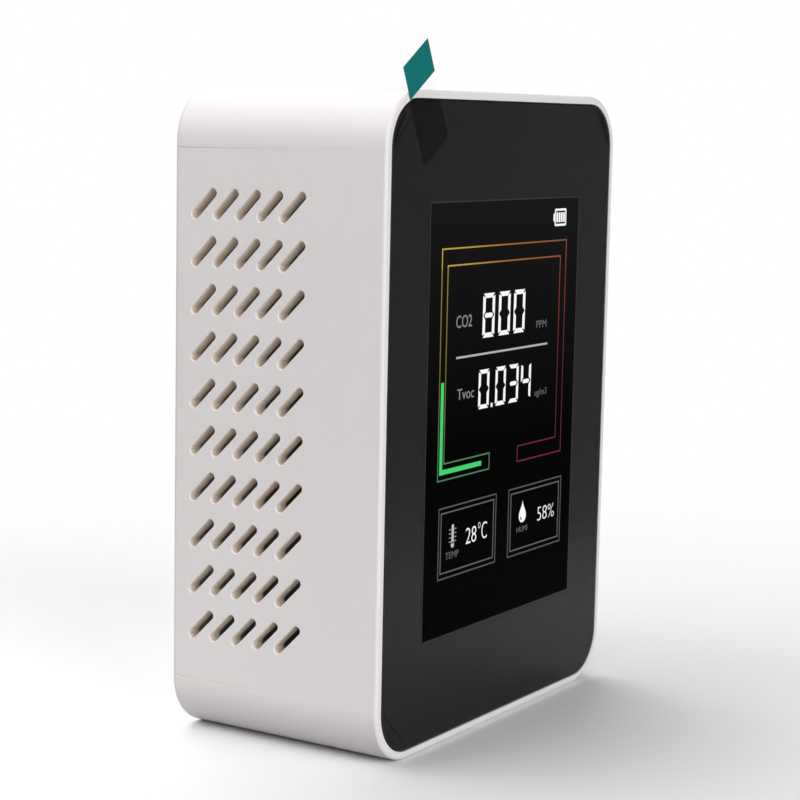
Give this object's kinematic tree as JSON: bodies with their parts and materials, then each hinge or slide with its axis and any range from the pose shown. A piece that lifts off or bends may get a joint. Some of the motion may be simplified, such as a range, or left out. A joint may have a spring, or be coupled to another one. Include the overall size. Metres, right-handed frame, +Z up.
{
  "type": "air quality monitor",
  "caption": "Upright desktop air quality monitor with a black display panel in a white rounded housing, slanted side air slots and a rear power button.",
  "frame": {"origin": "centre of the footprint, on the surface that the monitor stands on", "axes": "+Z up, -Y towards the display side, +X to the right when the display is seen from the front"},
  "size_m": [0.079, 0.0427, 0.1191],
  "materials": {
    "white_abs": "fine satin moulded ABS",
    "black_acrylic": "black print behind clear acrylic",
    "clear_film": "clear factory film",
    "teal_tab": "coloured adhesive tab",
    "clear_tape": "clear adhesive tape",
    "black_foam": "closed-cell foam",
    "white_foam": "foam tape",
    "bezel_steel": "folded thin sheet",
    "display_glass": "polarised display glass",
    "light_guide": "white light guide",
    "amber_polyimide": "polyimide flexible circuit",
    "ivory_nylon": "moulded nylon",
    "ribbon_white": "laminated flat cable",
    "green_board": "solder mask over glass epoxy",
    "zinc_screws": "zinc plated",
    "chip_epoxy": "moulded epoxy",
    "buzzer_black": "moulded",
    "gold_chamber": "gold-plated moulding",
    "white_membrane": "porous membrane",
    "gold_pins": "gold-flashed pins",
    "black_nylon": "glass-filled nylon",
    "nickel_can": "nickel-plated can",
    "white_nylon": "moulded",
    "foil_pouch": "laminated foil pouch",
    "red_silicone": "silicone insulation",
    "black_silicone": "silicone insulation",
    "ferrite": "pressed ferrite",
    "socket_steel": "stamped stainless"
  },
  "bodies": {
    "monitor": {"battery": "foil_pouch", "battery_header": "ivory_nylon", "battery_lead_black": "black_silicone", "battery_lead_red": "red_silicone", "battery_pad": "white_foam", "battery_plug": "ivory_nylon", "board_screws": "zinc_screws", "buzzer": "buzzer_black", "charger_chip": "chip_epoxy", "clear_tape": "clear_tape", "co2_board": "green_board", "co2_chamber": "gold_chamber", "co2_filter": "white_membrane", "co2_pins": "gold_pins", "cover_screws": "zinc_screws", "flash_chip": "chip_epoxy", "front_panel": "black_acrylic", "housing": "white_abs", "humidity_case": "white_nylon", "humidity_pins": "gold_pins", "inductor": "ferrite", "lcd_backlight": "light_guide", "lcd_bezel": "bezel_steel", "lcd_connector": "ivory_nylon", "lcd_flex": "amber_polyimide", "lcd_gasket": "black_foam", "lcd_glass": "display_glass", "lcd_pad": "white_foam", "link_cable": "ribbon_white", "main_board": "green_board", "main_link_socket": "ivory_nylon", "microcontroller": "chip_epoxy", "panel_adhesive": "black_foam", "power_board": "green_board", "power_board_screws": "zinc_screws", "power_link_socket": "ivory_nylon", "protective_film": "clear_film", "pull_tab": "teal_tab", "rear_cover": "white_abs", "switch_body": "black_nylon", "usb_shell": "socket_steel", "usb_tongue": "black_nylon", "voc_base": "black_nylon", "voc_cap": "nickel_can"},
    "button": {"power_button": "white_abs"},
    "plunger": {"switch_plunger": "black_nylon"}
  },
  "joints": [
    {"name": "power_button_press", "type": "slide", "parent": "monitor", "child": "button", "axis": [0, -1, 0], "range_m": [0, 0.00035], "stiffness_N_per_m": 3000, "springref_m": -0.0002},
    {"name": "switch_plunger_press", "type": "slide", "parent": "monitor", "child": "plunger", "axis": [0, -1, 0], "range_m": [0, 0.00035]}
  ],
  "couplings": [
    {"joint": "switch_plunger_press", "follows": "power_button_press", "ratio": 1}
  ]
}
